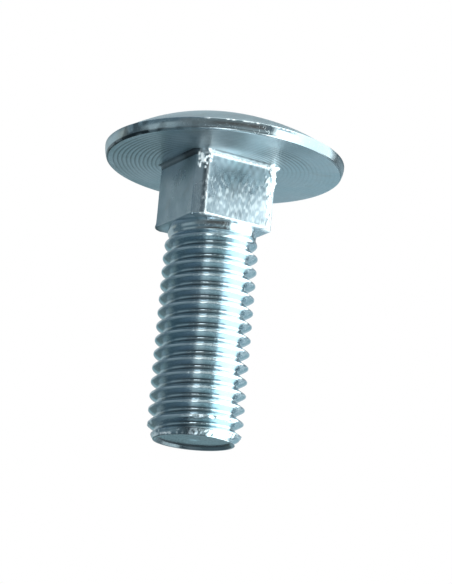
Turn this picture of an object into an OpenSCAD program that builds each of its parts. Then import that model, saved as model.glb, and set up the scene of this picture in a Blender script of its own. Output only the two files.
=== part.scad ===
// Carriage bolt, M12 x 35: a low domed head, a square neck and a threaded shank, forged in one piece.
// It stands on its tip with the head up, because a bolt that is laid down rolls and one that is put
// on its dome rocks.

/* [Head] */
// Widest diameter of the head
head_d = 30.3; // [26:0.1:34]
// Height of the dome's top over the bearing face
head_h = 6; // [5:0.1:8]
// Height of the band round the head's rim
rim_h = 1.4; // [1:0.1:2.5]
// How far the band draws in towards the bearing face
rim_taper = 0.2; // [0:0.05:0.4]
// Radius that rounds the band into the bearing face
rim_edge_r = 0.3; // [0.1:0.05:0.4]
// Width of the narrow ledge between the band and the dome
rim_ledge = 0.2; // [0.1:0.05:0.5]
// Distance of the upset head's centre from the shank's axis
head_offset = 0.65; // [0:0.05:1.5]

/* [Square neck] */
// Width of the neck across its flats
neck_w = 11.5; // [10.8:0.1:13]
// Depth of the neck under the bearing face
neck_h = 8.2; // [6:0.1:10]
// Flat cut on each corner of the neck, measured along a side
neck_corner = 1.25; // [0.6:0.05:2]
// Cove where the neck meets the bearing face
neck_cove = 0.5; // [0.2:0.1:1]
// Turn of the neck about the shank's axis, in degrees
neck_turn = 28.5; // [0:0.5:89]

/* [Thread] */
// Length from the bearing face to the tip
length = 35.3; // [25:0.1:60]
// Diameter over the thread's crests
thread_d = 11.86; // [11.7:0.02:12]
// Pitch of the thread
pitch = 1.75; // [1.25:0.25:2]
// Diameter of the blank that the thread is rolled on, which shows under the neck
blank_d = 11.1; // [10.4:0.1:11.4]
// Length of plain blank between the neck and the first trace of thread
plain_h = 0.4; // [0.3:0.1:3]
// Length over which the thread grows to its full depth
runout_h = 3; // [1.5:0.1:6]
// Diameter of the flat end
tip_d = 10.1; // [9:0.1:10.8]
// Height of the cone that leads the thread in
tip_h = 1.3; // [0.5:0.1:2]
// Width of the flat lip round the hollow that rolling leaves in the end
lip_w = 0.25; // [0.1:0.05:0.6]
// Width of the hollow's sloping wall
hollow_w = 0.35; // [0.1:0.05:1]
// Depth of the hollow
hollow_h = 0.35; // [0.1:0.05:0.8]

/* [Hidden] */
zinc = "#9fb1bb";
$fn = 96;

// The basic 60 degree profile has an eighth of the pitch flat at the crest, and a deeper root.
crest_flat = pitch / 8;
thread_depth = 0.6134 * pitch;
crest_r = thread_d / 2;
root_r = crest_r - thread_depth;
flank_run = thread_depth * tan(30);
blank_r = blank_d / 2;
tip_r = tip_d / 2;

// One pitch of the profile, from the tip towards the head: place along the axis, and share of the depth.
profile = [
    [-crest_flat / 2, 1],
    [crest_flat / 2, 1],
    [crest_flat / 2 + flank_run, 0],
    [pitch - crest_flat / 2 - flank_run, 0]
];
profile_n = len(profile);

// The shank's core runs a little way up inside the neck, where its top ring is buried.
shank_sink = 1;
shank_top_z = shank_sink - neck_h;
runout_top_z = -neck_h - plain_h;
cone_top_z = tip_h - length;

// On the side where the first column of points lies, a crest starts where the cone ends. The strip
// reaches a whole turn past both ends.
start_angle = 90;
turns_below = ceil(tip_h / pitch) + 1;
first_crest_z = cone_top_z + crest_flat / 2 - turns_below * pitch;
turns = ceil((shank_top_z - first_crest_z) / pitch) + 2;
strip_n = profile_n * turns;

// Steps in a turn: a long or fine thread gets fewer, so that its facets stay within a sensible count.
most_facets = 11000;
most_steps = 36;
steps = min(most_steps, 4 * floor(most_facets / (2 * strip_n) / 4));
step_angle = 360 / steps;
// A point this close to either end of the shank counts as part of that end.
ring_gap = 0.03;

// The dome is a cap of a sphere over the ledge. The band's edge round is a circle turned about the axis.
head_r = head_d / 2;
dome_base_r = head_r - rim_ledge;
dome_rise = head_h - rim_h;
dome_r = (pow(dome_base_r, 2) + pow(dome_rise, 2)) / (2 * dome_rise);
dome_z = head_h - dome_r;
edge_x = head_r - rim_taper - rim_edge_r;
band_dx = head_r - edge_x;
band_dz = rim_h - rim_edge_r;
band_reach = norm([band_dx, band_dz]);
// The band's side leaves the edge round along its tangent and ends at the widest corner.
band_turn = atan2(band_dz, band_dx) - acos(rim_edge_r / band_reach);
band_foot = [edge_x + rim_edge_r * cos(band_turn), rim_edge_r + rim_edge_r * sin(band_turn)];

// Height of a point of the thread: which point of the strip, and which step round the shank.
function strip_z(i, j) =
    first_crest_z + pitch * (floor(i / profile_n) + j / steps) + profile[i % profile_n][0];

// Share of the full thread at a height, rising smoothly from none at the top of the run-out.
function smooth(t) = t * t * (3 - 2 * t);
function thread_share(z) = smooth(min(1, max(0, (runout_top_z - z) / runout_h)));

// Radius of a point of the thread: blank, run-out or full profile, and never outside the lead-in cone.
function full_r(i) = root_r + profile[i % profile_n][1] * thread_depth;
function cone_r(z) = tip_r + (z + length) * (crest_r - tip_r) / tip_h;
function strip_r(i, z) = min(blank_r + thread_share(z) * (full_r(i) - blank_r), cone_r(z));

function at_step(r, j, z) =
    [r * cos(start_angle + j * step_angle), r * sin(start_angle + j * step_angle), z];
function strip_point(i, j) = at_step(strip_r(i, strip_z(i, j)), j, strip_z(i, j));

// The rings of the ends, which come first in the list of points: name, radius and height.
rings = [
    ["hollow", tip_r - lip_w - hollow_w, hollow_h - length],
    ["lip", tip_r - lip_w, -length],
    ["tip", tip_r, -length],
    ["top", blank_r, shank_top_z]
];

// Number of a point in the list. Points beyond either end become that end's ring, and one turn on is
// the same column one pitch higher.
function ring_id(name, j) = search([name], rings)[0] * steps + j % steps;
function point_id(i, j) =
    j == steps ? point_id(i + profile_n, 0)
    : strip_z(i, j) < ring_gap - length ? ring_id("tip", j)
    : strip_z(i, j) > shank_top_z - ring_gap ? ring_id("top", j)
    : len(rings) * steps + j * strip_n + i;

// The two facets of a patch between two columns of points.
function patch(a, b, c, d) = [[a, b, c], [a, c, d]];
function is_facet(f) = f[0] != f[1] && f[1] != f[2] && f[2] != f[0];

module threaded_shank() {
    ends = [for (ring = rings) for (j = [0:steps - 1]) at_step(ring[1], j, ring[2])];
    strip = [for (j = [0:steps - 1]) for (i = [0:strip_n - 1]) strip_point(i, j)];
    sides = [
        for (j = [0:steps - 1]) for (i = [0:strip_n - profile_n - 2])
            each patch(point_id(i, j), point_id(i + 1, j), point_id(i + 1, j + 1), point_id(i, j + 1))
    ];
    hollow = [
        for (j = [0:steps - 1]) for (pair = [["hollow", "lip"], ["lip", "tip"]])
            each patch(
                ring_id(pair[0], j), ring_id(pair[1], j),
                ring_id(pair[1], j + 1), ring_id(pair[0], j + 1)
            )
    ];
    caps = [
        [for (j = [0:steps - 1]) ring_id("hollow", j)],
        [for (j = [steps - 1:-1:0]) ring_id("top", j)]
    ];
    color(zinc)
        polyhedron(concat(ends, strip), concat([for (f = sides) if (is_facet(f)) f], hollow, caps));
}

// Section of the neck with its cut corners, grown outwards by a margin.
module neck_section(margin = 0) {
    half = neck_w / 2 + margin;
    cut = neck_corner + margin * (2 - sqrt(2));
    polygon([
        for (q = [0:3])
            each [for (p = [[half, cut - half], [half, half - cut]])
                [p[0] * cos(90 * q) - p[1] * sin(90 * q), p[0] * sin(90 * q) + p[1] * cos(90 * q)]]
    ]);
}

module square_neck() {
    cove_steps = 3;
    slice = 0.01;
    color(zinc)
        rotate([0, 0, neck_turn]) {
            translate([0, 0, -neck_h])
                linear_extrude(neck_h + rim_h / 2)
                    neck_section();
            // The cove widens towards the head along a quarter circle.
            for (k = [0:cove_steps - 1])
                hull()
                    for (a = [90 * k / cove_steps, 90 * (k + 1) / cove_steps])
                        translate([0, 0, -neck_cove * (1 - sin(a))])
                            linear_extrude(slice)
                                neck_section(neck_cove * (1 - cos(a)));
        }
}

module domed_head() {
    color(zinc)
        translate([head_offset, 0, 0]) {
            rotate_extrude()
                union() {
                    polygon([
                        [0, 0], [edge_x, 0], [edge_x, rim_edge_r],
                        band_foot, [head_r, rim_h], [0, rim_h]
                    ]);
                    translate([edge_x, rim_edge_r])
                        circle(rim_edge_r);
                }
            intersection() {
                translate([0, 0, dome_z])
                    sphere(dome_r);
                translate([0, 0, rim_h])
                    cylinder(r = head_d, h = head_h);
            }
        }
}

// The whole bolt about its own axis, with the bearing face at zero and the head above it.
module upright_bolt() {
    domed_head();
    square_neck();
    threaded_shank();
}

// The bolt as it stands, with the origin on the table under the middle of the head.
module carriage_bolt() {
    translate([-head_offset, 0, length])
        upright_bolt();
}

carriage_bolt();
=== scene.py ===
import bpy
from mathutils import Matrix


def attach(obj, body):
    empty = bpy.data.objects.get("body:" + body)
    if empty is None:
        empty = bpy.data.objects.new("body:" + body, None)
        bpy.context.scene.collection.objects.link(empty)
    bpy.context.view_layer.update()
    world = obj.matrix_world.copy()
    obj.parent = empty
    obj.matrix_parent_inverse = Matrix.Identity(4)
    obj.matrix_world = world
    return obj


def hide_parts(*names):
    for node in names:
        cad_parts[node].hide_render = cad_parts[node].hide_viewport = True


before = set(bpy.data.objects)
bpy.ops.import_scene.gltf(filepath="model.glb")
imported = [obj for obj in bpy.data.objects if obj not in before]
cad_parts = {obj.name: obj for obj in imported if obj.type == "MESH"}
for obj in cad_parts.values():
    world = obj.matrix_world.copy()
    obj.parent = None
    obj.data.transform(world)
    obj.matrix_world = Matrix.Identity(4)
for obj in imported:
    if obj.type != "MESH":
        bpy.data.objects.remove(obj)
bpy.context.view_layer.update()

"""A zinc-plated M12 x 35 carriage bolt that stands on its tip.

Surfaces are worked out in millimetres about the shank's own axis: the bearing face is at zero, the head
is above it and the tip below it. `stand` lifts them onto the table. Directions round the axis are in
degrees, counted from +x towards +y, and the viewer looks from -y, which is 270.
"""
import logging
import math
from dataclasses import dataclass, field
from enum import Enum, IntEnum
from typing import Sequence

import bpy
import numpy as np
from mathutils import Matrix, Vector

log = logging.getLogger("carriage_bolt")

Array = np.ndarray
Socket = bpy.types.NodeSocket
Colour = tuple[float, float, float]
Span = tuple[float, float]

NODE = "carriage_bolt"
MM = 0.001
HEAD_H = 6.0
HEAD_OFFSET = 0.65
NECK_H = 8.2
NECK_TURN = 28.5
LENGTH = 35.3


class Side(Enum):
    """Directions of the head's thick side and of the three corners of the neck that the viewer sees."""

    HEAD_LEFT = 180.0
    LEFT_CORNER = NECK_TURN + 135.0
    FRONT_CORNER = NECK_TURN + 225.0
    RIGHT_CORNER = NECK_TURN + 315.0


class Zone(IntEnum):
    """Zones of the head's surface, from the bearing face round the rim to the dome."""

    FACE = 0
    BAND = 1
    LEDGE = 2
    DOME = 3


def stand(points: Array) -> Array:
    """Lift points onto the table, with the head's middle over the origin, from millimetres into metres."""
    return (points + [-HEAD_OFFSET, 0.0, LENGTH]) * MM


def smooth(edge0: float, edge1: float, x: Array | float) -> Array:
    """Rise from 0 at edge0 to 1 at edge1 along the cubic t * t * (3 - 2 t). Either edge may be the higher."""
    t = np.clip((x - edge0) / (edge1 - edge0), 0.0, 1.0)
    return t * t * (3.0 - 2.0 * t)


def bell(away: Array, width: float) -> Array:
    """Weight that is 1 at zero and falls off as the exponential of -(away / width) ** 2."""
    return np.exp(-((away / width) ** 2))


@dataclass(frozen=True)
class Patch:
    """A soft patch on a piece: its strength, its direction and spread in degrees, and its ramps.

    A ramp is a pair of radii or heights in millimetres, and the patch fades in from the first to the second.
    """

    share: float
    side: float
    width: float
    ramps: tuple[Span, ...] = ()

    def over(self, angle: Array, along: Array | float = 0.0) -> Array:
        """Work out the patch's strength: a bell of the angle from its direction, times each ramp.

        Args:
            angle: Directions in degrees.
            along: Radii or heights in millimetres, for the ramps.

        Returns:
            The strengths, for the two arrays broadcast together.
        """
        weight = self.share * bell((angle - self.side + 180.0) % 360.0 - 180.0, self.width)
        for start, stop in self.ramps:
            weight = weight * smooth(start, stop, along)
        return weight


Patches = tuple[Patch, ...]


def lay(patches: Patches, angle: Array, along: Array | float = 0.0) -> Array:
    """Add up the strengths of several patches at the same directions and radii or heights."""
    return sum(patch.over(angle, along) for patch in patches)


class Ripple:
    """Smooth random unevenness: a sum of sine waves with seeded phases, periodic in its first argument."""

    def __init__(self, seed: int, around: int, along: float, waves: int = 18) -> None:
        """Draw the waves.

        Args:
            seed: Seed of the random draws.
            around: Highest whole number of waves round the piece.
            along: Highest number of waves per millimetre along it.
            waves: Number of sine waves.
        """
        rng = np.random.default_rng(seed)
        self.turns = rng.integers(0, around + 1, waves)
        self.pace = rng.uniform(-along, along, waves)
        self.phase = rng.uniform(0.0, 2.0 * np.pi, waves)
        self.size = math.sqrt(2.0 / waves)

    def __call__(self, angle: Array, z: Array) -> Array:
        """Add up the sines of turns times the angle, plus pace times the height, plus the phase.

        Args:
            angle: Angles in degrees.
            z: Heights in millimetres.

        Returns:
            The sums, for the two arrays broadcast together, with a spread of about 1.
        """
        angle, z = np.broadcast_arrays(angle, z)
        total = np.zeros(angle.shape)
        for turns, pace, phase in zip(self.turns, self.pace, self.phase):
            total += np.sin(np.radians(angle) * turns + 2.0 * np.pi * pace * z + phase)
        return total * self.size


def ring_faces(rows: int, columns: int) -> Array:
    """Quads of a grid that closes on itself round its columns.

    Args:
        rows: Number of rings.
        columns: Points in each ring.

    Returns:
        Corner numbers, (rows - 1) * columns x 4.
    """
    i, j = np.meshgrid(np.arange(rows - 1), np.arange(columns), indexing="ij")
    a, b = i * columns + j, i * columns + (j + 1) % columns
    return np.stack([a, b, b + columns, a + columns], axis=-1).reshape(-1, 4)


def fan_faces(ring: Array, pole: int, flip: bool) -> Array:
    """Triangles from a ring of points to one pole.

    Args:
        ring: Numbers of the ring's points, in order.
        pole: Number of the pole.
        flip: Whether the triangles are turned over.

    Returns:
        Corner numbers, one row of 3 for each point of the ring.
    """
    following = np.roll(ring, -1)
    a, b = (following, ring) if flip else (ring, following)
    return np.stack([a, b, np.full(len(ring), pole)], axis=-1)


def arc(centre: Span, radius: float, turn: Span, count: int) -> Array:
    """Points of an arc from one angle to another: the centre plus the radius times cosine and sine."""
    a = np.radians(np.linspace(*turn, count))
    return np.stack([centre[0] + radius * np.cos(a), centre[1] + radius * np.sin(a)], axis=-1)


def around(degrees: Array) -> Array:
    """Unit vectors in the plane across the axis, as n x 2 cosines and sines of the directions."""
    return np.stack([np.cos(np.radians(degrees)), np.sin(np.radians(degrees))], axis=-1)


def add_object(name: str, data: bpy.types.ID) -> bpy.types.Object:
    """Add an object to the scene.

    Args:
        name: Name of the object.
        data: Its mesh, camera or light.

    Returns:
        The new object, at the origin.
    """
    added = bpy.data.objects.new(name, data)
    bpy.context.scene.collection.objects.link(added)
    return added


def mesh_object(
    name: str, points: Array, faces: Sequence[Array], marks: dict[str, Array]
) -> bpy.types.Object:
    """Put a surface into a mesh object.

    Args:
        name: Name of the piece.
        points: n x 3 places in the bolt's own frame, in millimetres.
        faces: Arrays of corner numbers, each of triangles or of quads.
        marks: Values for each point, kept as float attributes that the material reads.

    Returns:
        The new object, at the origin, smooth shaded.
    """
    mesh = bpy.data.meshes.new(name)
    corners = np.concatenate([f.ravel() for f in faces])
    totals = np.concatenate([np.full(len(f), f.shape[1]) for f in faces])
    mesh.vertices.add(len(points))
    mesh.vertices.foreach_set("co", stand(points).astype(np.float32).ravel())
    mesh.loops.add(len(corners))
    mesh.loops.foreach_set("vertex_index", corners.astype(np.int32))
    mesh.polygons.add(len(totals))
    mesh.polygons.foreach_set("loop_start", (np.cumsum(totals) - totals).astype(np.int32))
    mesh.polygons.foreach_set("loop_total", totals.astype(np.int32))
    mesh.polygons.foreach_set("use_smooth", np.ones(len(totals), dtype=bool))
    mesh.update(calc_edges=True)
    mesh.validate()
    for key, values in marks.items():
        mark = mesh.attributes.new(key, "FLOAT", "POINT")
        mark.data.foreach_set("value", values.astype(np.float32).ravel())
    return add_object(name, mesh)


class NodeBench:
    """Adds nodes to one tree and wires them, so that a shader reads from top to bottom."""

    def __init__(self, tree: bpy.types.NodeTree) -> None:
        """Keep the tree to work on."""
        self.tree = tree

    @classmethod
    def fresh(cls, owner: bpy.types.ID) -> "NodeBench":
        """Start with no nodes in a material or a world.

        Args:
            owner: The material or the world.

        Returns:
            The bench of its tree.
        """
        owner.use_nodes = True
        owner.node_tree.nodes.clear()
        return cls(owner.node_tree)

    def add(self, kind: str, inputs: dict | None = None, **settings) -> bpy.types.Node:
        """Add a node.

        Args:
            kind: Blender's name of the node type.
            inputs: Value or socket for each input, by name or number.
            settings: Properties to set on the node.

        Returns:
            The node.
        """
        node = self.tree.nodes.new(kind)
        for key, value in settings.items():
            setattr(node, key, value)
        for key, value in (inputs or {}).items():
            if isinstance(value, bpy.types.NodeSocket):
                self.tree.links.new(value, node.inputs[key])
            else:
                node.inputs[key].default_value = value
        return node

    def math(self, operation: str, a, b=0.0, c=0.0, clamp: bool = False) -> Socket:
        """Wire a Math node and return its value."""
        return self.add("ShaderNodeMath", {0: a, 1: b, 2: c}, operation=operation, use_clamp=clamp).outputs[0]

    def mix(self, share, a, b) -> Socket:
        """Mix two colours by a share and return the colour."""
        return self.add("ShaderNodeMix", {0: share, 6: a, 7: b}, data_type="RGBA").outputs[2]

    def remap(self, value, low: float, high: float, to_low: float = 0.0, to_high: float = 1.0) -> Socket:
        """Map a value smoothly from one range to another and return it."""
        node = self.add(
            "ShaderNodeMapRange",
            {"Value": value, "From Min": low, "From Max": high, "To Min": to_low, "To Max": to_high},
            interpolation_type="SMOOTHSTEP",
        )
        return node.outputs["Result"]

    def window(self, value, low: float, high: float, soft: float) -> Socket:
        """Return a weight that is 1 between two values and falls off smoothly over a margin on each side."""
        rise = self.remap(value, low - soft, low + soft)
        return self.math("MULTIPLY", rise, self.remap(value, high - soft, high + soft, 1.0, 0.0))

    def noise(self, vector, scale: float, detail: float, roughness: float) -> Socket:
        """Wire a noise texture over a vector and return its value."""
        inputs = {"Vector": vector, "Scale": scale, "Detail": detail, "Roughness": roughness}
        return self.add("ShaderNodeTexNoise", inputs).outputs["Fac"]

    def stretched(self, vector, scale: Colour) -> Socket:
        """Scale a vector along its axes, so that a texture on it is drawn out."""
        return self.add("ShaderNodeMapping", {"Vector": vector, "Scale": scale}).outputs[0]

    def mark(self, name: str) -> Socket:
        """Read a float attribute of the piece."""
        return self.add("ShaderNodeAttribute", attribute_name=name).outputs["Fac"]


def group(
    name: str, inputs: dict[str, str], outputs: dict[str, str]
) -> tuple[NodeBench, bpy.types.Node, bpy.types.Node]:
    """Start a shader node group.

    Args:
        name: Name of the group.
        inputs: Kind of each input: Vector, Color or Float.
        outputs: Kind of each output.

    Returns:
        The bench of the group's tree, its input node and its output node.
    """
    tree = bpy.data.node_groups.new(name, "ShaderNodeTree")
    for direction, sockets in (("INPUT", inputs), ("OUTPUT", outputs)):
        for key, kind in sockets.items():
            tree.interface.new_socket(name=key, in_out=direction, socket_type=f"NodeSocket{kind}")
    bench = NodeBench(tree)
    return bench, bench.add("NodeGroupInput"), bench.add("NodeGroupOutput")


def passivation_group() -> bpy.types.NodeTree:
    """Colour of the passivated zinc, which drifts between blue, teal and a little brown in soft clouds.

    Returns:
        The group's tree.
    """
    bench, given, out = group(
        "passivation",
        {"Vector": "Vector", "Zinc": "Color", "Blue": "Color", "Brown": "Color", "Brown Share": "Float"},
        {"Color": "Color"},
    )
    clouds = bench.noise(given.outputs["Vector"], scale=150.0, detail=4.0, roughness=0.6)
    blotches = bench.noise(given.outputs["Vector"], scale=420.0, detail=5.0, roughness=0.65)
    blue = bench.mix(bench.remap(clouds, 0.35, 0.68), given.outputs["Zinc"], given.outputs["Blue"])
    brown = bench.math("MULTIPLY", bench.remap(blotches, 0.5, 0.72), given.outputs["Brown Share"])
    bench.tree.links.new(bench.mix(brown, blue, given.outputs["Brown"]), out.inputs["Color"])
    return bench.tree


def plating_group() -> bpy.types.NodeTree:
    """Fine grain of the plating: a height for bump and a share that lifts the roughness in patches.

    Returns:
        The group's tree.
    """
    bench, given, out = group(
        "plating_grain", {"Vector": "Vector"}, {"Height": "Float", "Patches": "Float"}
    )
    grain = bench.noise(given.outputs["Vector"], scale=2600.0, detail=4.0, roughness=0.6)
    dents = bench.noise(given.outputs["Vector"], scale=900.0, detail=2.0, roughness=0.5)
    patches = bench.noise(given.outputs["Vector"], scale=330.0, detail=3.0, roughness=0.6)
    bench.tree.links.new(bench.math("MULTIPLY_ADD", dents, 2.0, grain), out.inputs["Height"])
    bench.tree.links.new(patches, out.inputs["Patches"])
    return bench.tree


def scratch_group() -> bpy.types.NodeTree:
    """Fine straight scratches: thin lines where a drawn-out noise crosses its middle value.

    Returns:
        The group's tree.
    """
    bench, given, out = group("scratches", {"Vector": "Vector", "Width": "Float"}, {"Mask": "Float"})
    lines = bench.noise(given.outputs["Vector"], scale=60.0, detail=3.0, roughness=0.6)
    off = bench.math("ABSOLUTE", bench.math("SUBTRACT", lines, 0.5))
    mask = bench.math("SUBTRACT", 1.0, bench.math("DIVIDE", off, given.outputs["Width"]), clamp=True)
    bench.tree.links.new(mask, out.inputs["Mask"])
    return bench.tree


@dataclass(frozen=True)
class ZincFinish:
    """Zinc plating with a blue passivated sheen.

    Colours are linear: `zinc`, `blue` and `brown` are the clouds of the plating, `bright` is worn metal and
    painted highlight, `painted_shade` is the dark colour of painted shade and `torn` is the matt white of
    torn zinc, which is also painted on as highlight. `roughness` runs from the smooth to the rough patches,
    which lie in `patch_range` of the noise. `scratch_shine` and `wear_and_highlight` are how bright scratches
    and the worn and highlighted places turn, and `polish` is what that brightness takes off the roughness.
    `satin` and
    `torn_rough` are what those marks add to it, and `torn_matt` is what torn zinc takes off the metal.
    `grain` is the bump distance of the plating in millimetres, `scratch_depth` a scratch's share of it, and
    `drawn` stretches the scratches along the axes.
    """

    name: str
    zinc: Colour = (0.50, 0.585, 0.63)
    blue: Colour = (0.43, 0.55, 0.60)
    brown: Colour = (0.40, 0.41, 0.38)
    bright: Colour = (0.86, 0.92, 0.95)
    painted_shade: Colour = (0.05, 0.065, 0.075)
    torn: Colour = (0.92, 0.97, 0.985)
    brown_share: float = 0.25
    roughness: Span = (0.2, 0.34)
    patch_range: Span = (0.35, 0.68)
    polish: float = 0.08
    satin: float = 0.16
    torn_rough: float = 0.2
    torn_matt: float = 0.7
    grain: float = 0.004
    drawn: Colour = (40.0, 40.0, 3.0)
    scratch_width: float = 0.01
    scratch_shine: float = 0.25
    scratch_depth: float = 0.8
    wear_and_highlight: float = 0.35

    def material(self, groups: dict[str, bpy.types.NodeTree]) -> bpy.types.Material:
        """Build the material.

        Args:
            groups: The shared node groups by name.

        Returns:
            The material, which reads Object coordinates and the piece's marks: `wear_and_highlight` brightens
            the metal for worn places and painted highlights, `shade` darkens it as painted shade, `satin`
            roughens it, and
            `burr_and_highlight` turns it into matt white torn zinc, which also serves as painted highlight.
        """
        made = bpy.data.materials.new(self.name)
        bench = NodeBench.fresh(made)
        place = bench.add("ShaderNodeTexCoord").outputs["Object"]
        tints = {"Zinc": (*self.zinc, 1.0), "Blue": (*self.blue, 1.0), "Brown": (*self.brown, 1.0)}
        tints.update({"Vector": place, "Brown Share": self.brown_share})
        tint = bench.add("ShaderNodeGroup", tints, node_tree=groups["passivation"])
        grain = bench.add("ShaderNodeGroup", {"Vector": place}, node_tree=groups["plating_grain"])
        drawn = {"Vector": bench.stretched(place, self.drawn), "Width": self.scratch_width}
        lines = bench.add("ShaderNodeGroup", drawn, node_tree=groups["scratches"])
        scratch, burr_and_highlight = lines.outputs["Mask"], bench.mark("burr_and_highlight")
        # Worn places and painted highlights turn bright, and so do the scratches.
        wear_and_highlight = bench.math("MULTIPLY", bench.mark("wear_and_highlight"), self.wear_and_highlight)
        bright = bench.math("MULTIPLY_ADD", scratch, self.scratch_shine, wear_and_highlight, clamp=True)
        colour = bench.mix(bright, tint.outputs["Color"], (*self.bright, 1.0))
        # Painted shade mixes a dark colour in where the shade mark is.
        colour = bench.mix(bench.mark("shade"), colour, (*self.painted_shade, 1.0))
        # Matt white torn zinc, also painted on as highlight.
        colour = bench.mix(burr_and_highlight, colour, (*self.torn, 1.0))
        rough = bench.remap(grain.outputs["Patches"], *self.patch_range, *self.roughness)
        rough = bench.math("MULTIPLY_ADD", bench.mark("satin"), self.satin, rough)
        rough = bench.math("MULTIPLY_ADD", bright, -self.polish, rough)
        rough = bench.math("MULTIPLY_ADD", burr_and_highlight, self.torn_rough, rough, clamp=True)
        metal = bench.math("MULTIPLY_ADD", burr_and_highlight, -self.torn_matt, 1.0, clamp=True)
        height = bench.math("MULTIPLY_ADD", scratch, -self.scratch_depth, grain.outputs["Height"])
        bump = bench.add("ShaderNodeBump", {"Height": height, "Distance": self.grain * MM, "Strength": 1.0})
        steel = bench.add(
            "ShaderNodeBsdfPrincipled",
            {"Base Color": colour, "Roughness": rough, "Metallic": metal, "Normal": bump.outputs["Normal"]},
        )
        out = bench.add("ShaderNodeOutputMaterial", {"Surface": steel.outputs[0]})
        out.is_active_output = True
        return made


@dataclass
class DomedHead:
    """The upset head: a bearing face with turned grooves, a thick rim band, a ledge and a low dome.

    Lengths are in millimetres. The fields whose names start with ring give the turned grooves and the
    shade painted in them, and the patches say where shade and highlight are painted, where the band has
    darker blotches and where dashes of torn zinc are painted along the rim's top edge as glints.
    """

    diameter: float = 30.3
    height: float = HEAD_H
    rim_h: float = 1.4
    rim_taper: float = 0.2
    edge_r: float = 0.3
    edge_turn: Span = (-80.0, -4.0)
    corner_r: float = 0.06
    corner_turn: Span = (20.0, 100.0)
    ledge: float = 0.2
    ledge_dips: tuple[Span, ...] = ((0.06, -0.02), (0.01, -0.05))
    offset: float = HEAD_OFFSET
    barrel: float = 0.05
    dents: float = 0.012
    swell: float = 0.12
    swell_top: float = 3.0
    lean: float = 0.9
    ring_pitch: float = 0.54
    ring_depth: float = 0.011
    ring_waver: float = 0.06
    ring_drift: float = 0.3
    ring_faint: float = 0.12
    ring_start: Span = (5.5, 7.0)
    ring_stop: Span = (14.5, 13.9)
    ring_full: Patches = (
        Patch(1.0, 196.0, 42.0, ((7.5, 9.0),)),
        Patch(1.0, 318.0, 26.0, ((12.5, 10.5),)),
    )
    # Painted shade in the turned grooves and in the ledge's crease.
    ring_shade: float = 0.7
    ledge_shade: float = 0.9
    # Painted shade along the band's lower edge at the left.
    low_edge_h: float = 0.35
    low_edge: Patches = (Patch(0.8, 190.0, 62.0),)
    # Darker blotches along the band at the front left.
    blotches: Patches = (Patch(0.6, 222.0, 26.0),)
    # Painted shade on the bearing face, mostly in front, where it tones down reflections.
    bearing_face_shade: Patches = (
        Patch(0.68, 271.0, 14.0, ((7.0, 9.0),)),
        Patch(0.2, 257.0, 6.0, ((7.0, 9.0),)),
        Patch(0.3, 308.0, 13.0, ((7.0, 9.0),)),
        Patch(0.12, 215.0, 25.0),
    )
    # Painted shade on the band at the right, where it tones down the soft box's reflection.
    band_shade: Patches = (Patch(0.62, 318.0, 26.0), Patch(0.62, 350.0, 12.0))
    band_shade_most: float = 0.62
    # Painted shade on the dome towards the right, away from its top.
    dome_shade: Patches = (Patch(0.64, 350.0, 84.0, ((4.0, 10.0),)),)
    # Worn metal and painted highlight along the band's top edge.
    top_edge_h: float = 0.22
    top_edge_worn_and_highlight: float = 0.15
    # Painted highlights on the band in front and at the front left.
    band_painted_highlight: Patches = (Patch(1.4, 287.0, 12.0), Patch(1.1, 227.0, 13.0))
    # Dashes of torn zinc along the band's top edge, painted as glints.
    chips: Patches = (Patch(2.0, 274.0, 12.0), Patch(1.3, 297.0, 5.0))
    face_satin: float = 1.0
    dome_satin: float = 1.9
    hidden_rings: Span = (2.5, 4.5)
    face_start: float = 5.0
    face_rings: int = 132
    edge_points: int = 7
    band_points: int = 13
    corner_points: int = 4
    dome_rings: int = 46
    columns: int = 288
    finish: ZincFinish = field(
        default_factory=lambda: ZincFinish("zinc_head", roughness=(0.13, 0.24), drawn=(14.0, 14.0, 14.0))
    )

    def profile(self) -> tuple[Array, Array]:
        """Half section of the head, from the middle of the bearing face round the rim to the dome's top.

        The band is the straight line from the edge's round to the corner's, with a half sine added for its
        barrel shape, and the dome is an arc through its foot on the ledge and its top.

        Returns:
            The n x 2 radii and heights, and the zone of each point.
        """
        r = self.diameter / 2.0
        inner = r - self.rim_taper - self.edge_r
        radii = np.concatenate([self.hidden_rings, np.linspace(self.face_start, inner, self.face_rings)])
        face = np.stack([radii, np.zeros(len(radii))], axis=-1)
        edge = arc((inner, self.edge_r), self.edge_r, self.edge_turn, self.edge_points)
        t = np.linspace(0.0, 1.0, self.band_points + 1)[1:]
        shoulder = self.rim_h - self.corner_r
        band = edge[-1] + np.outer(t, np.array([r, shoulder]) - edge[-1])
        band[:, 0] = np.minimum(band[:, 0] + self.barrel * np.sin(np.pi * t), r)
        corner = arc((r - self.corner_r, shoulder), self.corner_r, self.corner_turn, self.corner_points)
        base, rise = r - self.ledge, self.height - self.rim_h
        ledge = np.array([base, self.rim_h]) + self.ledge_dips
        dome_r = (base**2 + rise**2) / (2.0 * rise)
        foot_turn = 90.0 - math.degrees(math.asin(base / dome_r))
        dome = arc((0.0, self.height - dome_r), dome_r, (foot_turn, 90.0), self.dome_rings)[:-1]
        parts = [face, edge, band, corner, ledge, dome]
        zones = [Zone.FACE, Zone.BAND, Zone.BAND, Zone.BAND, Zone.LEDGE, Zone.DOME]
        return np.concatenate(parts), np.repeat(zones, [len(part) for part in parts])

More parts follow.
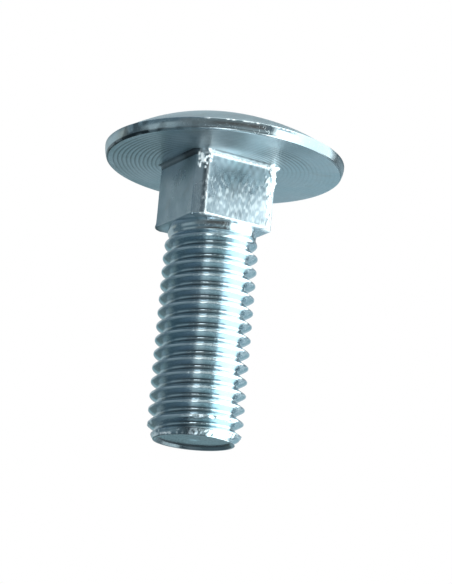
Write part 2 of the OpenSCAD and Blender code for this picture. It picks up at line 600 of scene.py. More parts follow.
    def grooves(self, r: Array, a: Array, uneven: Ripple) -> Array:
        """Depth of the turned grooves, as a share of the full one.

        A groove is the cube of a raised cosine of the radius, which wavers a little. The grooves are faint
        all round, and full at the left and in front of the neck's right corner.

        Args:
            r: Radii in millimetres.
            a: Directions in degrees.
            uneven: The unevenness that the rings waver with.

        Returns:
            The shares, for the two arrays broadcast together.
        """
        wavering = r + self.ring_waver * uneven(a, r * self.ring_drift)
        wave = 0.5 + 0.5 * np.cos(2.0 * np.pi * wavering / self.ring_pitch)
        where = smooth(*self.ring_start, r) * smooth(*self.ring_stop, r)
        full = np.clip(lay(self.ring_full, a, r), 0.0, 1.0)
        return wave**3 * where * (self.ring_faint + (1.0 - self.ring_faint) * full)

    def marks(self, line: Array, zone: Array, a: Array, z: Array, cut: Array) -> dict[str, Array]:
        """Work out the head's marks: patches of each zone, broken up by ripples.

        Args:
            line: The profile's radii and heights.
            zone: The zone of each of its points, as a column.
            a: Directions in degrees, as a row.
            z: Heights of the finished surface.
            cut: Depth of the turned grooves, as a share.

        Returns:
            The marks by name, for every point and then for the two poles.
        """
        r, h = line[:, :1], line[:, 1:]
        face, band, ledge, dome = (zone == one for one in Zone)
        low_edge = band & (h < self.low_edge_h)
        top_edge = band & (h > self.rim_h - self.top_edge_h)
        # Painted shade in the grooves, in the ledge's crease, along the band's lower edge, on the bearing
        # face, on the dome and on the band, with darker blotches on the band.
        shade = self.ledge_shade * ledge + self.ring_shade * cut + low_edge * lay(self.low_edge, a)
        shade = shade + band * smooth(0.1, 1.0, Ripple(5, 60, 0.5, 24)(a, z)) * lay(self.blotches, a)
        shade = shade + face * lay(self.bearing_face_shade, a, r) + dome * lay(self.dome_shade, a, r)
        shade = shade + band * np.minimum(lay(self.band_shade, a), self.band_shade_most)
        dashes = smooth(0.1, 0.9, Ripple(4, 170, 0.0, 40)(a, z))
        # Worn metal and painted highlight on the band, and torn zinc dashes painted as glints on its top
        # edge.
        marks = {
            "shade": np.clip(shade, 0.0, 1.0),
            "wear_and_highlight": self.top_edge_worn_and_highlight * top_edge + band * lay(self.band_painted_highlight, a),
            "burr_and_highlight": top_edge * dashes * np.clip(lay(self.chips, a), 0.0, 1.0),
            "satin": np.repeat(self.face_satin * face + self.dome_satin * dome, a.size, axis=1),
        }
        poles = {"satin": [self.face_satin, self.dome_satin]}
        return {key: np.append(values, poles.get(key, [0.0, 0.0])) for key, values in marks.items()}

    def build(self) -> bpy.types.Object:
        """Turn the half section about the head's axis.

        The band is thicker at the left: its heights stretch with the cosine of the angle. The rim is uneven
        by a smooth ripple that only cuts inwards. The dome leans: its rings move to the left with their
        height.

        Returns:
            The head.
        """
        line, zone = self.profile()
        rows = len(line)
        r, h, zone = line[:, :1], line[:, 1:], zone[:, None]
        a = (np.arange(self.columns) * 360.0 / self.columns)[None, :]
        uneven = Ripple(3, 9, 0.4)
        cut = self.grooves(r, a, uneven) * (zone == Zone.FACE)
        swell = self.swell * np.cos(np.radians(a - Side.HEAD_LEFT.value))
        swell = swell * smooth(self.edge_r, self.rim_h, h) * smooth(self.swell_top, self.rim_h, h)
        z = h + self.ring_depth * cut + swell
        rim = (zone == Zone.BAND) | (zone == Zone.LEDGE)
        radius = r - self.dents * (1.0 + np.clip(uneven(a, z), -1.0, 1.0)) * rim
        centre = self.offset - self.lean * np.clip((h - self.rim_h) / (self.height - self.rim_h), 0.0, 1.0)
        turn = np.radians(a)
        points = np.stack([centre + radius * np.cos(turn), radius * np.sin(turn), z], axis=-1).reshape(-1, 3)
        poles = [[self.offset, 0.0, 0.0], [self.offset - self.lean, 0.0, self.height]]
        number = np.arange(len(points)).reshape(rows, self.columns)
        faces = [
            ring_faces(rows, self.columns),
            fan_faces(number[0], len(points), True),
            fan_faces(number[-1], len(points) + 1, False),
        ]
        marks = self.marks(line, zone, a, z, cut)
        return mesh_object("domed_head", np.concatenate([points, poles]), faces, marks)


@dataclass
class SquareNeck:
    """The square neck with cut corners, a cove under the head and the ragged flash that upsetting leaves.

    Lengths are in millimetres. `buried` gives the rings inside the head: height, and how far beyond the
    cove. `flash` places the torn metal at the corners, and `bead` is the height and the half width of the
    bead along the top of the right face. A ramp is a pair of heights or directions, as in Patch. Those of
    `foot_edge_highlight` and `lip_shade` count from the foot, and that of `foot_lip` from the lower face.
    """

    width: float = 11.5
    height: float = NECK_H
    corner: float = 1.25
    cove: float = 0.5
    turn: float = NECK_TURN
    edge_r: float = 0.16
    buried: tuple[Span, ...] = ((0.7, 0.0), (0.25, 0.12))
    lumps: float = 0.011
    lumps_most: float = 1.5
    lumps_ramp: Span = (-0.3, -1.0)
    flash: Patches = (
        Patch(0.42, Side.RIGHT_CORNER.value - 2.0, 6.5, ((-4.2, -0.9),)),
        Patch(0.26, Side.FRONT_CORNER.value + 3.0, 6.0, ((-3.1, -0.9),)),
        Patch(0.1, Side.RIGHT_CORNER.value - 5.0, 4.0),
    )
    flash_most: float = 1.6
    bead: Span = (-0.42, 0.13)
    bead_h: float = 0.09
    under_head: Span = (0.1, -0.1)
    foot_lip: Patches = (Patch(0.3, Side.LEFT_CORNER.value, 7.0, ((0.6, 0.05),)),)
    right_face: tuple[Span, Span] = ((254.0, 257.0), (340.0, 335.0))
    # Painted highlight lines along the right corner's edge, the front corner's edge and the right face's
    # foot.
    right_edge_highlight: Patches = (Patch(1.0, Side.RIGHT_CORNER.value - 1.0, 6.0),)
    front_edge_highlight: Patches = (Patch(1.0, 260.5, 1.2, ((-0.5, -1.0),)),)
    foot_edge_highlight: Span = (0.05, -0.1)
    # Painted highlight: white mottles over the right face's lower half.
    highlight_mottles: float = 0.29
    highlight_mottles_ramp: Span = (-1.6, -4.2)
    low_ramp: Span = (-3.0, -6.5)
    far_ramp: Span = (300.0, 330.0)
    # Worn metal and painted highlight on the cut corners.
    corners_worn_and_highlight: Patches = (
        Patch(0.5, Side.RIGHT_CORNER.value, 9.0),
        Patch(0.45, Side.FRONT_CORNER.value, 7.0),
    )
    # Painted shade under the left corner's lip, on the left face under the head and in the cove.
    lip_shade: Patches = (Patch(0.9, Side.LEFT_CORNER.value, 12.0, ((-0.04, -0.14),)),)
    left_face_shade: Patches = (Patch(0.4, 236.0, 14.0, ((-3.4, -1.0),)),)
    cove_shade: float = 0.7
    cove_ramp: Span = (-0.75, -0.55)
    left_faces: tuple[Span, Span] = ((165.0, 175.0), (256.0, 250.0))
    # Painted shade on the right face, lessening downwards, to the right and at its top right.
    face_shade: float = 0.77
    face_shade_most: float = 0.85
    face_low: tuple[float, Span] = (0.18, (-1.5, -6.5))
    face_far: float = 0.12
    face_top: tuple[float, Span, Span] = (0.24, (-2.4, -1.1), (318.0, 300.0))
    flat_points: int = 84
    cut_points: int = 12
    arc_points: int = 5
    cove_points: int = 9
    rows: int = 84
    lower_rings: int = 7
    lower_share: float = 0.12
    finish: ZincFinish = field(
        default_factory=lambda: ZincFinish(
            "zinc_neck", zinc=(0.55, 0.64, 0.70), roughness=(0.24, 0.4), grain=0.006,
            drawn=(60.0, 60.0, 5.0), scratch_width=0.012, scratch_shine=0.2, wear_and_highlight=0.8,
        )
    )

    @property
    def foot(self) -> float:
        """Height at which the round of the lower edge starts."""
        return self.edge_r - self.height

    def section(self) -> tuple[Array, Array]:
        """Outline of the neck: eight straight sides joined by small arcs, each tangent to its two sides.

        The sides' normals are 45 degrees apart. A corner's arc has its centre where the two sides would
        meet if both lay an edge radius further in.

        Returns:
            The m x 2 points and the m x 2 outward normals.
        """
        sides = np.arange(8)
        normals = sides * 45.0 + self.turn
        reach = np.where(sides % 2 == 0, self.width / 2.0, (self.width - self.corner) / math.sqrt(2.0))
        n, inner = around(normals), reach - self.edge_r
        nxt, inner_nxt = np.roll(n, -1, axis=0), np.roll(inner, -1)
        det = n[:, 0] * nxt[:, 1] - n[:, 1] * nxt[:, 0]
        centre_x = (inner * nxt[:, 1] - inner_nxt * n[:, 1]) / det
        centre_y = (inner_nxt * n[:, 0] - inner * nxt[:, 0]) / det
        centre = np.stack([centre_x, centre_y], axis=-1)
        points, out = [], []
        for k in sides:
            corner = around(np.linspace(normals[k], normals[k] + 45.0, self.arc_points))
            count = self.cut_points if k % 2 == 0 else self.flat_points
            t = np.linspace(0.0, 1.0, count + 2)[1:-1, None]
            start = centre[k] + self.edge_r * nxt[k]
            stop = centre[(k + 1) % 8] + self.edge_r * nxt[k]
            points += [centre[k] + self.edge_r * corner, start + t * (stop - start)]
            out += [corner, np.repeat(nxt[k : k + 1], count, axis=0)]
        return np.concatenate(points), np.concatenate(out)

    def levels(self) -> tuple[Array, Array]:
        """Heights of the rings, and how far each stands out from the outline.

        The margin follows the cove's quarter circle under the head, is nothing down the faces, and draws
        in along a small quarter circle at the lower edge.

        Returns:
            The heights and the margins, from inside the head downwards.
        """
        buried = np.array(self.buried)
        cove = np.radians(np.linspace(90.0, 0.0, self.cove_points))
        low = np.radians(np.linspace(0.0, 90.0, self.arc_points))[1:]
        body = np.linspace(-self.cove, self.foot, self.rows)[1:]
        cove_z, low_z = -self.cove * (1.0 - np.sin(cove)), self.foot - self.edge_r * np.sin(low)
        cove_out, low_out = self.cove * (1.0 - np.cos(cove)), -self.edge_r * (1.0 - np.cos(low))
        z = np.concatenate([buried[:, 0], cove_z, body, low_z])
        return z, np.concatenate([self.cove + buried[:, 1], cove_out, np.zeros(len(body)), low_out])

    def marks(self, a: Array, z: Array, ragged: dict[str, Array]) -> dict[str, Array]:
        """Work out the neck's marks.

        Torn zinc lies on the flash and on the bead along the top of the right face, and the bead's white also
        stands for a highlight line. Matt white is painted as highlight along the right face's edges and in
        mottles over its lower half. Painted shade lies on the right face away from the torn zinc and painted
        white, under the left corner's lip, on the left face under the head and in the cove.

        Args:
            a: Directions in degrees, as a row.
            z: Heights in millimetres, as a column.
            ragged: Arrays of the same surface: coarse ripple, torn metal, bead and flash.

        Returns:
            The marks by name, for every point of the outline's rings.
        """
        coarse, torn = ragged["coarse"], ragged["torn"]
        low, far = smooth(*self.low_ramp, z), smooth(*self.far_ramp, a)
        face = smooth(*self.right_face[0], a) * smooth(*self.right_face[1], a)
        # Painted highlight lines along the front edge, the right face's foot and the right corner's edge.
        front_edge_highlight = lay(self.front_edge_highlight, a, z)
        foot_edge_highlight = smooth(*self.foot_edge_highlight, z - self.foot) * face
        right_edge_highlight = lay(self.right_edge_highlight, a) * smooth(-0.4, 0.5, coarse + 0.4)
        # Mottles of painted highlight over the right face's lower half.
        streaks = 0.6 * Ripple(14, 64, 1.1, 36)(a, z) + 0.5 * Ripple(15, 230, 1.3, 40)(a, z) + 0.45 * coarse
        streaks = streaks + 0.7 * low + 0.5 * far
        highlight_mottles = self.highlight_mottles * smooth(0.2, 2.6, streaks) * smooth(*self.highlight_mottles_ramp, z) * face
        patchy = np.clip(0.35 + 0.65 * torn, 0.0, 1.0)
        # Torn zinc on the bead, whose white also stands for a highlight line, and painted highlight along the
        # edges.
        edges = (ragged["bead"] + 0.7 * front_edge_highlight + 0.7 * foot_edge_highlight) * patchy
        # Torn zinc on the flash, and painted highlight on the bead, along the edges and in the mottles.
        burr_and_highlight = smooth(0.015, 0.07, ragged["flash"]) + edges + 0.9 * right_edge_highlight + highlight_mottles
        burr_and_highlight = np.clip(burr_and_highlight, 0.0, 1.0) * smooth(*self.under_head, z)
        # Painted shade under the left corner's lip, on the left face under the head and in the cove.
        shade = lay(self.lip_shade, a, z - self.foot) + lay(self.left_face_shade, a, z)
        left_faces = smooth(*self.left_faces[0], a) * smooth(*self.left_faces[1], a)
        shade = shade + self.cove_shade * smooth(*self.cove_ramp, z) * left_faces
        # Painted shade on the right face, lessening downwards, to the right and at its top right.
        right_face_shade = self.face_shade - self.face_low[0] * smooth(*self.face_low[1], z) - self.face_far * far
        right_face_shade = right_face_shade - self.face_top[0] * smooth(*self.face_top[1], z) * smooth(*self.face_top[2], a)
        right_face_shade = np.clip(right_face_shade + 0.06 * coarse, 0.0, self.face_shade_most)
        # Painted highlight on the front edge and the right face's foot, worn metal and painted highlight on
        # the cut corners.
        wear_and_highlight = front_edge_highlight + foot_edge_highlight + lay(self.corners_worn_and_highlight, a)
        return {
            "wear_and_highlight": np.clip(wear_and_highlight, 0.0, 1.0),
            "shade": np.clip(shade + face * right_face_shade * (1.0 - burr_and_highlight), 0.0, 1.0),
            "burr_and_highlight": burr_and_highlight,
            "satin": np.zeros(burr_and_highlight.shape),
        }

    def build(self) -> bpy.types.Object:
        """Carry the outline down from inside the head to the neck's lower face.

        A point is the outline's point moved out along its normal by the level's margin. A shallow ripple is
        taken off it and the flash is put on: the positive part of a fine ripple within a bell round each
        upper corner, a bead with a bell for its section along the top of the right face, and a lip at the
        left corner's foot. The lower face is the last ring drawn in towards the shank.

        Returns:
            The neck.
        """
        line, out = self.section()
        level, margin = self.levels()
        a = (np.degrees(np.arctan2(line[:, 1], line[:, 0])) % 360.0)[None, :]
        z = level[:, None]
        soft, fine, coarse = Ripple(11, 14, 0.25), Ripple(12, 150, 1.6, 40), Ripple(13, 50, 0.7, 24)(a, z)
        dips = np.clip(soft(a, z), -self.lumps_most, self.lumps_most) - self.lumps_most
        torn = np.clip(0.6 * fine(a, z) + 0.6 * coarse + 0.35, 0.0, self.flash_most)
        face = smooth(*self.right_face[0], a) * smooth(*self.right_face[1], a)
        bead = bell(z - self.bead[0], self.bead[1]) * face
        flash = torn * lay(self.flash, a, z)
        lip = lay(self.foot_lip, a, z + self.height)
        relief = self.lumps * dips * smooth(*self.lumps_ramp, z)
        relief = relief + (flash + self.bead_h * bead) * smooth(*self.under_head, z) + lip
        flat = line[None] + (margin[:, None] + relief)[..., None] * out[None]
        rings = np.concatenate([flat, np.broadcast_to(z[..., None], (*flat.shape[:2], 1))], axis=-1)
        drawn = np.linspace(1.0, self.lower_share, self.lower_rings + 1)[1:, None, None]
        rings = np.concatenate([rings, rings[-1][None] * (drawn * [1.0, 1.0, 0.0] + [0.0, 0.0, 1.0])])
        rows, columns = rings.shape[:2]
        number = np.arange(rows * columns).reshape(rows, columns)
        poles = [[0.0, 0.0, level[0]], [0.0, 0.0, -self.height]]
        faces = [
            ring_faces(rows, columns)[:, ::-1],
            fan_faces(number[0], number.size, False),
            fan_faces(number[-1], number.size + 1, True),
        ]
        ragged = {"coarse": coarse, "torn": torn, "bead": bead, "flash": flash}
        plain = np.zeros(self.lower_rings * columns + len(poles))
        marks = {key: np.append(values, plain) for key, values in self.marks(a, z, ragged).items()}
        return mesh_object("square_neck", np.concatenate([rings.reshape(-1, 3), poles]), faces, marks)


@dataclass(frozen=True)
class Strip:
    """The wound thread as a grid: a column of profile rows for each step round the shank."""

    row: Array
    angle: Array
    z: Array
    radius: Array
    runout: Array


@dataclass
class ThreadedShank:
    """The shank: a plain blank under the neck, the run-out, a rolled right-hand thread and the cone.

    Lengths are in millimetres. `crest_soft`, `root_soft` and `root_fill` round the thread's profile and
    `chips` breaks its crests, as shares of its depth. `seam` is the depth, as such a share, and the half
    width of the fold that rolling leaves in the crests. `trace` is the share of thread that shows on the
    blank. The ramps of `chips_ramp` and `cone_shade` count from the cone's top, and that of `frayed` and
    `nicks_h` from the tip.
    """

    length: float = LENGTH
    neck_h: float = NECK_H
    diameter: float = 11.86
    pitch: float = 1.75
    depth_share: float = 0.6134
    flank_angle: float = 30.0
    blank_d: float = 11.1
    plain_h: float = 0.4
    runout_h: float = 3.0
    tip_d: float = 10.1
    tip_h: float = 1.3
    lip_w: float = 0.25
    hollow_w: float = 0.35
    hollow_h: float = 0.35
    sink: float = 1.0
    crest_soft: float = 0.17
    root_soft: float = 0.14
    root_fill: float = 0.03
    seam: Span = (0.05, 0.03)
    trace: float = 0.09
    chips: float = 0.09
    chips_ramp: Span = (2.6, 0.4)
    chipped_above: float = 0.8
    nicks: float = 0.05
    nicks_h: float = 0.3
    # Worn metal and painted highlight on the crests.
    crests_worn_and_highlight: Span = (0.85, 0.98)
    # Painted shade in the roots, at the front only.
    root_shade: float = 0.76
    root_place: Span = (0.42, 0.075)
    painted_shade: Patches = (Patch(1.0, 260.0, 37.0),)
    painted_shade_stop: Span = (299.0, 278.0)
    # Painted shade on the cone's front, on the end and on the hollow's wall, most at the back left.
    cone_shade: Patches = (Patch(0.85, 264.0, 17.0, ((-0.1, -0.4),)),)
    end_shade: float = 0.7
    wall_shade: float = 0.52
    wall_shade_back_left: Patches = (Patch(0.44, 138.0, 54.0),)
    frayed: Patches = (Patch(0.7, 224.0, 26.0, ((0.35, 0.2),)),)
    half_pitch_rows: tuple[float, ...] = (
        0.0, 0.018, 0.036, 0.055, 0.075, 0.1, 0.17, 0.26, 0.345, 0.39, 0.43, 0.465,
    )
    start_angle: float = 90.0
    steps: int = 180
    weld: float = 0.015
    finish: ZincFinish = field(
        default_factory=lambda: ZincFinish("zinc_thread", roughness=(0.09, 0.18), wear_and_highlight=0.45)
    )

    @property
    def depth(self) -> float:
        """Depth of the thread."""
        return self.depth_share * self.pitch

    @property
    def top_z(self) -> float:
        """Height of the shank's top, inside the neck."""
        return self.sink - self.neck_h

    @property
    def cone_z(self) -> float:
        """Height at which the cone meets the full crests."""
        return self.tip_h - self.length

    def thread_profile(self) -> tuple[Array, Array]:
        """One pitch of the thread: places along the axis from a crest's middle, and share of the depth.

        The share is the 60 degree flank's straight line, rounded off at crest and root by a smooth minimum
        and maximum, less a narrow dip in the crest's middle where the two rolled lips meet.

        Returns:
            Places in millimetres and the shares, one for each row of a pitch.
        """
        half = np.array(self.half_pitch_rows)
        away = np.concatenate([half, [0.5], 1.0 - half[:0:-1]])
        d = np.minimum(away, 1.0 - away) * self.pitch
        line = 1.0 - (d - self.pitch / 16.0) / (self.depth * math.tan(math.radians(self.flank_angle)))
        top = 0.5 * (line + 1.0 - np.sqrt((line - 1.0) ** 2 + self.crest_soft**2))
        share = 0.5 * (top + self.root_fill + np.sqrt((top - self.root_fill) ** 2 + self.root_soft**2))
        return away * self.pitch, share / share.max() - self.seam[0] * bell(d, self.seam[1])

    def wind(self, place: Array, share: Array) -> Strip:
        """Wind the profile round the shank.

        A point's height is its place in the profile plus one pitch for each turn, and its radius runs from
        the root's to the crest's with the profile's share, blended into the plain blank along the run-out
        and never outside the cone. Chips are taken off the crests near the tip, and nicks off the cone.

        Args:
            place: Places of the profile's rows along the axis.
            share: Their shares of the depth.

        Returns:
            The strip, from a turn past the tip to a turn past the top.
        """
        crest_r, blank_r, tip_r = self.diameter / 2.0, self.blank_d / 2.0, self.tip_d / 2.0
        turns_below = math.ceil(self.tip_h / self.pitch) + 1
        first = self.cone_z + self.pitch / 16.0 - turns_below * self.pitch
        turns = math.ceil((self.top_z - first) / self.pitch) + 2
        i, j = np.arange(len(place) * turns)[:, None], np.arange(self.steps)[None, :]
        row = i % len(place)
        z = first + self.pitch * (i // len(place) + j / self.steps) + place[row]
        angle = self.start_angle + 360.0 * j / self.steps
        plain_z = -self.neck_h - self.plain_h
        runout = self.trace + (1.0 - self.trace) * smooth(plain_z, plain_z - self.runout_h, z)
        chips_ramp = smooth(*self.chips_ramp, z - self.cone_z)
        chips = self.chips * np.clip(Ripple(21, 22, 0.9, 30)(angle, z) - 0.2, 0.0, 2.0) * chips_ramp
        full = crest_r - self.depth + (share[row] - chips * (share[row] > self.chipped_above)) * self.depth
        nicks = self.nicks * np.clip(Ripple(22, 60, 1.2, 30)(angle, z), 0.0, 1.5)
        cone = tip_r + (z + self.length) * (crest_r - tip_r) / self.tip_h
        cone = cone - nicks * smooth(0.0, self.nicks_h, z + self.length)
        return Strip(row, angle, z, np.minimum(blank_r + runout * (full - blank_r), cone), runout)

    def end_rings(self) -> tuple[Array, Array]:
        """Rings of the end: the lip, the hollow's wall and its slightly domed floor.

        Returns:
            The radii and the heights, from the outside inwards.
        """
        tip_r, deep = self.tip_d / 2.0, self.hollow_h
        lip_r = tip_r - self.lip_w
        floor_r = lip_r - self.hollow_w
        radii = [[tip_r, lip_r, lip_r - 0.06, floor_r + 0.06, floor_r], floor_r * np.linspace(0.96, 0.2, 8)]
        rises = [[0.0, 0.0, 0.05 * deep, 0.95 * deep, deep], deep * np.linspace(0.995, 0.9, 8)]
        return np.concatenate(radii), np.concatenate(rises) - self.length

    def marks(self, strip: Strip, place: Array, share: Array, rings: int) -> dict[str, Array]:
        """Work out the shank's marks: worn crests with painted highlight, painted shade in the roots, on the
        cone and on the end, and a frayed edge.

        Args:
            strip: The wound thread.
            place: Places of the profile's rows along the axis.
            share: Their shares of the depth.
            rings: Number of rings in the end.

        Returns:
            The marks by name, for the end's rings, the top ring, the poles and the strip.
        """
        angle, z = strip.angle, strip.z
        base = (rings + 1) * self.steps + 2
        # Painted shade in the roots at the front and on the cone's front.
        root = self.root_shade * bell(place / self.pitch - self.root_place[0], self.root_place[1])
        painted_shade = lay(self.painted_shade, angle) * smooth(*self.painted_shade_stop, angle % 360.0)
        dark = root[strip.row] * strip.runout * painted_shade + lay(self.cone_shade, angle, z - self.cone_z)
        dashes = smooth(-0.4, 0.8, Ripple(23, 90, 1.0, 30)(angle, z))
        frayed = lay(self.frayed, angle, z + self.length) * dashes
        still = np.zeros(base)
        # Painted shade on the end and on the hollow's wall.
        end = still.copy()
        end[: rings * self.steps] = self.end_shade
        end[self.steps : 4 * self.steps] = np.tile(self.wall_shade + lay(self.wall_shade_back_left, angle[0]), 3)
        return {
            "wear_and_highlight": np.append(still, smooth(*self.crests_worn_and_highlight, share)[strip.row] * strip.runout),
            "shade": np.append(end, dark),
            "burr_and_highlight": np.append(still, frayed),
            "satin": np.zeros(base + z.size),
        }

    def build(self) -> bpy.types.Object:
        """Join the wound thread to the hollow end and to the top.

        The column one turn on is the first column one pitch higher. Points of the strip past either end
        become that end's ring, and facets that fall together there are left out.

        Returns:
            The shank.
        """
        place, share = self.thread_profile()
        strip = self.wind(place, share)
        end_r, end_z = self.end_rings()
        rings, n = len(end_r), len(place)
        circle = around(strip.angle[0])
        disc_z = np.tile(end_z[:, None, None], (1, self.steps, 1))
        disc = np.concatenate([end_r[:, None, None] * circle[None], disc_z], axis=-1).reshape(-1, 3)
        top = np.column_stack([self.blank_d / 2.0 * circle, np.full(self.steps, self.top_z)])
        poles = np.array([[0.0, 0.0, end_z[-1]], [0.0, 0.0, self.top_z]])
        turn = np.radians(strip.angle)
        wound = np.stack([strip.radius * np.cos(turn), strip.radius * np.sin(turn), strip.z], axis=-1)
        points = np.concatenate([disc, top, poles, wound.reshape(-1, 3)])
        step, pole = np.arange(self.steps), (rings + 1) * self.steps
        ids = np.arange(pole + len(poles), len(points)).reshape(strip.z.shape)
        ids = np.where(strip.z < self.weld - self.length, step, ids)
        ids = np.where(strip.z > self.top_z - self.weld, rings * self.steps + step, ids)
        ids = np.concatenate([ids[:-n], ids[n:, :1]], axis=1)
        a, b, c, d = ids[:-1, :-1], ids[1:, :-1], ids[1:, 1:], ids[:-1, 1:]
        sides = np.concatenate([np.stack(three, axis=-1).reshape(-1, 3) for three in ((a, d, c), (a, c, b))])
        real = (sides != np.roll(sides, -1, axis=1)).all(axis=1)
        faces = [
            sides[real],
            ring_faces(rings, self.steps)[:, ::-1],
            fan_faces((rings - 1) * self.steps + step, pole, True),
            fan_faces(rings * self.steps + step, pole + 1, False),
        ]
        used = np.zeros(len(points), dtype=bool)
        used[np.concatenate([f.ravel() for f in faces])] = True
        number = np.cumsum(used) - 1
        marks = {key: values[used] for key, values in self.marks(strip, place, share, rings).items()}
        return mesh_object("threaded_shank", points[used], [number[f] for f in faces], marks)


@dataclass(frozen=True)
class Panel:
    """A soft panel of the studio: its spans of azimuth and elevation in degrees, its edge and its light."""

    name: str
    azimuth: Span
    elevation: Span
    soft: float
    colour: Colour


@dataclass(frozen=True)
class Lamp:
    """A soft box that looks at the bolt.

    Azimuth is counted from the viewer towards the picture's right and elevation from the table, in degrees.
    Reach and side are in metres, and a radiance of 1 makes its face white.
    """

    name: str
    azimuth: float
    elevation: float
    reach: float
    side: float
    radiance: float
    shows_in_metal: bool = True


@dataclass
class Studio:
    """The camera at the photograph's viewing angle, the pale floor, the lamps and the panels round the bolt.

    Places are in millimetres in the bolt's own frame. The camera looks up at the head by `elevation` and is
    rolled by `roll`, both in degrees, and `focus` is its focal length in pixels. It sees the point of the
    axis at `target_z` at `target_pixel`. The floor's sizes and the lamps' target are in metres.
    """

    elevation: float = 15.16
    roll: float = -5.216
    distance: float = 267.965
    focus: float = 2153.065
    target_z: float = -14.0
    target_pixel: Span = (208.796, 274.721)
    image: tuple[int, int] = (452, 584)
    sensor: float = 36.0
    clip: Span = (0.01, 20.0)
    floor_half: float = 2.5
    floor_z: float = -0.00005
    floor_grey: float = 0.86
    floor_glow: float = 0.3
    lamp_target_z: float = 0.022
    lamps: tuple[Lamp, ...] = (
        Lamp("overhead", 30.0, 70.0, 0.6, 0.5, 1.5),
        Lamp("fill", 25.0, -25.0, 0.5, 0.4, 4.0, shows_in_metal=False),
    )
    room: Colour = (0.14, 0.2, 0.235)
    panels: tuple[Panel, ...] = (
        Panel("slate_below", (-400.0, 400.0), (-100.0, -46.0), 8.0, (0.20, 0.275, 0.31)),
        Panel("slate_upper_left", (-150.0, -20.0), (24.0, 70.0), 7.0, (0.22, 0.30, 0.37)),
        Panel("pale_upper_back_left", (-400.0, -160.0), (18.0, 64.0), 7.0, (0.74, 0.81, 0.83)),
        Panel("grey_upper_back_right", (160.0, 400.0), (18.0, 64.0), 7.0, (0.30, 0.35, 0.38)),
        Panel("grey_left", (-400.0, -108.0), (-4.0, 15.0), 6.0, (0.45, 0.49, 0.47)),
        Panel("pale_back_left", (-400.0, -124.0), (-24.0, 18.0), 7.0, (0.51, 0.60, 0.63)),
        Panel("dark_low_back_left", (-400.0, -150.0), (-36.0, -6.0), 7.0, (0.155, 0.21, 0.215)),
        Panel("pale_front_left", (-85.0, -45.0), (-18.0, 4.0), 6.0, (0.42, 0.50, 0.53)),
        Panel("dark_front", (-45.0, 38.0), (-18.0, 16.0), 6.0, (0.22, 0.25, 0.26)),
        Panel("brown_front", (-17.0, 34.0), (-10.0, 6.0), 3.0, (0.13, 0.125, 0.12)),
        Panel("blue_back_right", (136.0, 400.0), (-50.0, 15.0), 6.0, (0.50, 0.65, 0.72)),
        Panel("pale_below_back_right", (150.0, 400.0), (-100.0, -60.0), 6.0, (0.50, 0.58, 0.60)),
        Panel("pale_straight_below", (-400.0, 400.0), (-100.0, -77.0), 3.0, (0.46, 0.56, 0.60)),
        Panel("teal_back_right", (150.0, 400.0), (-14.0, -5.0), 3.0, (0.31, 0.50, 0.56)),
        Panel("teal_back_left", (-400.0, -150.0), (-14.0, -5.0), 3.0, (0.31, 0.50, 0.56)),
        Panel("grey_low_front_right", (6.0, 50.0), (-77.0, -16.0), 5.0, (0.36, 0.45, 0.47)),
        Panel("green_upper_front_right", (2.0, 48.0), (22.0, 70.0), 7.0, (0.56, 0.72, 0.73)),
        Panel("lamp_upper_front", (-22.0, 4.0), (22.0, 60.0), 7.0, (1.25, 1.35, 1.33)),
        Panel("lamp_below_front", (-15.0, 7.0), (-100.0, -46.0), 4.0, (1.9, 2.1, 2.15)),
        Panel("lamp_low_front", (-14.0, 5.0), (-47.0, -28.0), 3.0, (4.6, 4.8, 4.9)),
        Panel("softbox_upper_right", (48.0, 150.0), (28.0, 64.0), 5.0, (3.1, 3.7, 3.7)),
        Panel("softbox_low_back_right", (92.0, 148.0), (-66.0, -36.0), 5.0, (3.8, 4.2, 4.2)),
        Panel("softbox_right", (60.0, 120.0), (-66.0, 60.0), 5.0, (3.8, 4.1, 4.1)),
        Panel("softbox_front_right", (47.0, 70.0), (-56.0, 28.0), 5.0, (3.7, 4.1, 4.1)),
        Panel("blue_flag_front_right", (48.0, 66.0), (5.0, 26.0), 3.0, (0.55, 0.72, 0.82)),
    )

    def camera(self) -> None:
        """Make the scene's camera from its angles, distance and focal length."""
        el, roll = math.radians(self.elevation), math.radians(self.roll)
        forward = Vector((0.0, math.cos(el), math.sin(el)))
        right, up = Vector((1.0, 0.0, 0.0)), Vector((0.0, -math.sin(el), math.cos(el)))
        across = right * math.cos(roll) - up * math.sin(roll)
        rise = right * math.sin(roll) + up * math.cos(roll)
        place = Vector((0.0, 0.0, self.target_z)) - forward * self.distance
        long_side = max(self.image)
        data = bpy.data.cameras.new("camera")
        data.sensor_width = self.sensor
        data.lens = self.focus / long_side * self.sensor
        data.shift_x = (self.image[0] / 2.0 - self.target_pixel[0]) / long_side
        data.shift_y = -(self.image[1] / 2.0 - self.target_pixel[1]) / long_side
        data.clip_start, data.clip_end = self.clip
        camera = add_object("camera", data)
        turn = Matrix((across, rise, -forward)).transposed().to_4x4()
        camera.matrix_world = Matrix.Translation(Vector(stand(np.array([place]))[0])) @ turn
        bpy.context.scene.camera = camera

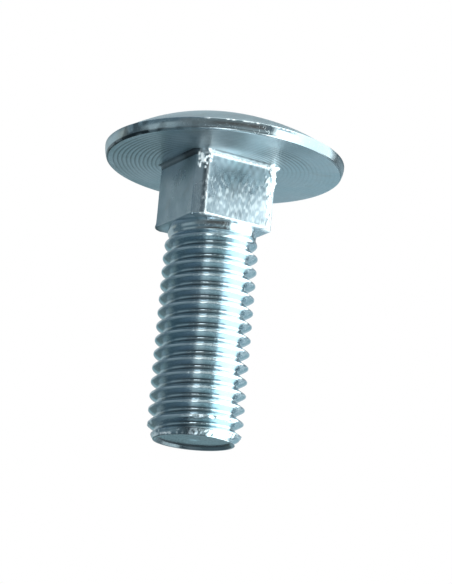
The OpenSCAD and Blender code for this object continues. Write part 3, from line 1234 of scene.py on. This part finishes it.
    def floor(self) -> None:
        """Lay the pale floor that the bolt stands on.

        It is seen from above only, so that the low camera looks past it from below, and the metal reflects
        the studio in its place.
        """
        mesh = bpy.data.meshes.new("floor")
        half, low = self.floor_half, self.floor_z
        corners = [(-half, -half, low), (half, -half, low), (half, half, low), (-half, half, low)]
        mesh.from_pydata(corners, [], [(0, 1, 2, 3)])
        floor = add_object("floor", mesh)
        made = bpy.data.materials.new("floor_paper")
        bench = NodeBench.fresh(made)
        seen = bench.add("ShaderNodeLightPath").outputs["Is Camera Ray"]
        glow = bench.math("MULTIPLY", seen, self.floor_glow)
        light = bench.add("ShaderNodeEmission", {"Color": (1.0, 1.0, 1.0, 1.0), "Strength": glow})
        paper = bench.add("ShaderNodeBsdfDiffuse", {"Color": (*[self.floor_grey] * 3, 1.0)})
        both = bench.add("ShaderNodeAddShader", {0: paper.outputs[0], 1: light.outputs[0]})
        under = bench.add("ShaderNodeNewGeometry").outputs["Backfacing"]
        clear = bench.add("ShaderNodeBsdfTransparent")
        shown = bench.add("ShaderNodeMixShader", {0: under, 1: both.outputs[0], 2: clear.outputs[0]})
        bench.add("ShaderNodeOutputMaterial", {"Surface": shown.outputs[0]})
        mesh.materials.append(made)
        floor.visible_glossy = False
        floor.visible_shadow = False

    def hang(self, lamp: Lamp) -> None:
        """Hang a lamp at its direction and distance, turned towards the bolt's middle.

        Args:
            lamp: The lamp to hang.
        """
        data = bpy.data.lights.new(lamp.name, "AREA")
        data.shape = "RECTANGLE"
        data.size = data.size_y = lamp.side
        data.energy = lamp.radiance * math.pi * lamp.side * lamp.side
        light = add_object(lamp.name, data)
        light.visible_glossy = lamp.shows_in_metal
        a, e = math.radians(lamp.azimuth), math.radians(lamp.elevation)
        way = Vector((math.sin(a) * math.cos(e), -math.cos(a) * math.cos(e), math.sin(e)))
        place = Vector((0.0, 0.0, self.lamp_target_z)) + way * lamp.reach
        light.matrix_world = Matrix.Translation(place) @ way.to_track_quat("Z", "Y").to_matrix().to_4x4()

    def world(self) -> None:
        """Surround the bolt with the studio: white paper for the camera, and soft panels that metal reflects.

        A panel's weight is a smooth window over the azimuth, counted from the viewer towards the picture's
        right, times a smooth window over the elevation. Each panel covers those before it.
        """
        world = bpy.data.worlds.new("studio")
        bench = NodeBench.fresh(world)
        place = bench.add("ShaderNodeTexCoord").outputs["Generated"]
        way = bench.add("ShaderNodeSeparateXYZ", {0: place}).outputs
        nearer = bench.math("MULTIPLY", way["Y"], -1.0)
        azimuth = bench.math("DEGREES", bench.math("ARCTAN2", way["X"], nearer))
        elevation = bench.math("DEGREES", bench.math("ARCSINE", way["Z"]))
        room = (*self.room, 1.0)
        for panel in self.panels:
            across = bench.window(azimuth, *panel.azimuth, panel.soft)
            along = bench.window(elevation, *panel.elevation, panel.soft)
            room = bench.mix(bench.math("MULTIPLY", across, along), room, (*panel.colour, 1.0))
            room.node.label = panel.name
        path = bench.add("ShaderNodeLightPath")
        seen = bench.mix(path.outputs["Is Camera Ray"], room, (1.0, 1.0, 1.0, 1.0))
        back = bench.add("ShaderNodeBackground", {"Color": seen, "Strength": 1.0})
        bench.add("ShaderNodeOutputWorld", {"Surface": back.outputs[0]})
        bpy.context.scene.world = world

    def build(self) -> None:
        """Set up the whole studio."""
        self.camera()
        self.floor()
        self.world()
        for lamp in self.lamps:
            self.hang(lamp)
        bpy.context.scene.view_settings.view_transform = "Standard"


def main() -> None:
    """Build the bolt's three forged parts, dress them and set up the studio."""
    logging.basicConfig(level=logging.INFO, format="%(name)s: %(message)s")
    groups = {tree.name: tree for tree in (passivation_group(), plating_group(), scratch_group())}
    for part in (DomedHead(), SquareNeck(), ThreadedShank()):
        piece = part.build()
        piece.data.materials.append(part.finish.material(groups))
        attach(piece, "root")
        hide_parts(NODE)
        log.info("%s: %d points, %d faces", piece.name, len(piece.data.vertices), len(piece.data.polygons))
    Studio().build()


if __name__ == "__main__":
    main()
